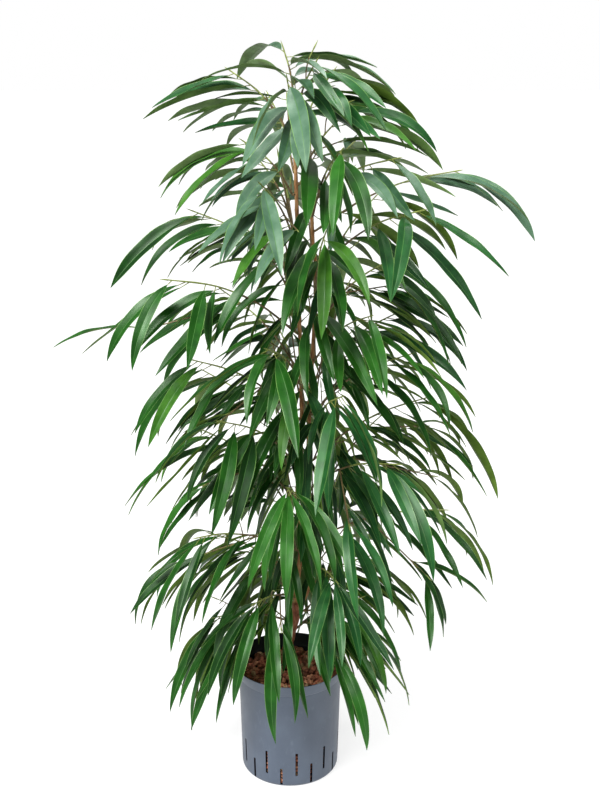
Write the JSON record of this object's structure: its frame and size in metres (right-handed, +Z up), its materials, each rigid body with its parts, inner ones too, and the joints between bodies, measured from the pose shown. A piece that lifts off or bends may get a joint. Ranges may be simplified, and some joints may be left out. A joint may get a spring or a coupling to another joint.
{
  "type": "potted alii ficus plant",
  "caption": "Tall narrow-leaved indoor fig on two slim stems, its arching foliage tapering to the top, in a round slotted culture pot of clay pebbles.",
  "frame": {"origin": "middle of the pot's flat underside", "axes": "+Z up along the pot's axis to the top of the crown; -Y is the front, the side that the picture shows; +X is right in that view"},
  "size_m": [0.7123, 0.5612, 1.1621],
  "materials": {
    "pot_plastic": "satin",
    "clay_pebbles": "matte",
    "bark": "matte",
    "leaves": "satin"
  },
  "bodies": {
    "root": {"pot": "pot_plastic", "pebbles": "clay_pebbles", "trunk": "bark", "stem_left": "bark", "stem_right": "bark", "foliage_01": "leaves", "foliage_02": "leaves", "foliage_03": "leaves", "foliage_04": "leaves", "foliage_05": "leaves", "foliage_06": "leaves", "foliage_07": "leaves", "foliage_08": "leaves", "foliage_09": "leaves", "foliage_10": "leaves", "foliage_11": "leaves", "foliage_12": "leaves", "foliage_13": "leaves", "foliage_14": "leaves", "foliage_15": "leaves", "foliage_16": "leaves", "foliage_17": "leaves", "foliage_18": "leaves", "foliage_19": "leaves", "foliage_20": "leaves", "foliage_21": "leaves", "foliage_22": "leaves", "foliage_23": "leaves", "foliage_24": "leaves", "foliage_25": "leaves", "foliage_26": "leaves", "foliage_27": "leaves", "foliage_28": "leaves", "foliage_29": "leaves", "foliage_30": "leaves", "foliage_31": "leaves", "foliage_32": "leaves", "foliage_33": "leaves", "foliage_34": "leaves", "foliage_35": "leaves", "foliage_36": "leaves", "foliage_37": "leaves", "foliage_38": "leaves", "foliage_39": "leaves", "foliage_40": "leaves", "foliage_41": "leaves", "foliage_42": "leaves", "foliage_43": "leaves", "foliage_44": "leaves", "foliage_45": "leaves", "foliage_46": "leaves", "foliage_47": "leaves", "foliage_48": "leaves", "foliage_49": "leaves", "foliage_50": "leaves", "foliage_top_left": "leaves", "foliage_top_right": "leaves"}
  },
  "joints": []
}
